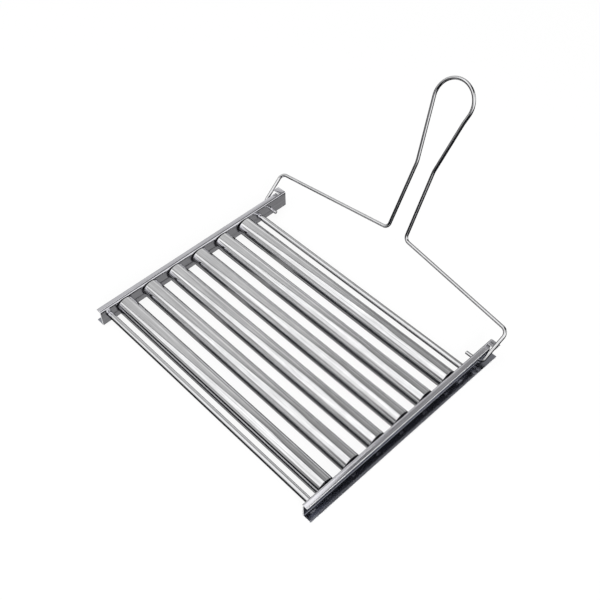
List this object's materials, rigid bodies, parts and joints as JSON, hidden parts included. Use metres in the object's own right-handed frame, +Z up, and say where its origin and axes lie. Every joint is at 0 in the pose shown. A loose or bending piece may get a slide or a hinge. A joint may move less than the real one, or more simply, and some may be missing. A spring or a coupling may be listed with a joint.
{
  "type": "hot dog roller rack",
  "caption": "Unpowered hot dog roller rack: free-turning steel tubes between two channel end rails, with a long folding wire handle.",
  "frame": {"origin": "centre of the bounding box, on the surface the rack stands on, with the handle open", "axes": "+X along the rollers from the left rail to the right rail, +Y from the front towards the handle, +Z up"},
  "size_m": [0.3059, 0.3412, 0.1887],
  "materials": {
    "rail": "satin brushed stainless sheet, polished along the folds",
    "tie_rod": "bright drawn stainless rod",
    "roller_tube": "polished stainless tube with fine streaks along its length",
    "roller_plug": "turned steel",
    "handle_wire": "polished stainless wire"
  },
  "bodies": {
    "rack": {"left_rail": "rail", "right_rail": "rail", "front_tie_rod": "tie_rod", "rear_tie_rod": "tie_rod"},
    "roller_1": {"roller_tube_1": "roller_tube", "roller_plug_left_1": "roller_plug", "roller_plug_right_1": "roller_plug"},
    "roller_2": {"roller_tube_2": "roller_tube", "roller_plug_left_2": "roller_plug", "roller_plug_right_2": "roller_plug"},
    "roller_3": {"roller_tube_3": "roller_tube", "roller_plug_left_3": "roller_plug", "roller_plug_right_3": "roller_plug"},
    "roller_4": {"roller_tube_4": "roller_tube", "roller_plug_left_4": "roller_plug", "roller_plug_right_4": "roller_plug"},
    "roller_5": {"roller_tube_5": "roller_tube", "roller_plug_left_5": "roller_plug", "roller_plug_right_5": "roller_plug"},
    "roller_6": {"roller_tube_6": "roller_tube", "roller_plug_left_6": "roller_plug", "roller_plug_right_6": "roller_plug"},
    "handle": {"handle_wire": "handle_wire"}
  },
  "joints": [
    {"name": "roller_1_spin", "type": "hinge", "parent": "rack", "child": "roller_1", "pos_m": [0, -0.14258, 0.0102], "axis": [1, 0, 0], "continuous": true},
    {"name": "roller_2_spin", "type": "hinge", "parent": "rack", "child": "roller_2", "pos_m": [0, -0.11138, 0.0102], "axis": [1, 0, 0], "continuous": true},
    {"name": "roller_3_spin", "type": "hinge", "parent": "rack", "child": "roller_3", "pos_m": [0, -0.08018, 0.0102], "axis": [1, 0, 0], "continuous": true},
    {"name": "roller_4_spin", "type": "hinge", "parent": "rack", "child": "roller_4", "pos_m": [0, -0.04898, 0.0102], "axis": [1, 0, 0], "continuous": true},
    {"name": "roller_5_spin", "type": "hinge", "parent": "rack", "child": "roller_5", "pos_m": [0, -0.01778, 0.0102], "axis": [1, 0, 0], "continuous": true},
    {"name": "roller_6_spin", "type": "hinge", "parent": "rack", "child": "roller_6", "pos_m": [0, 0.01342, 0.0102], "axis": [1, 0, 0], "continuous": true},
    {"name": "handle_fold", "type": "hinge", "parent": "rack", "child": "handle", "pos_m": [0, 0.05092, 0.009], "axis": [1, 0, 0], "range_deg": [0, 115]}
  ]
}
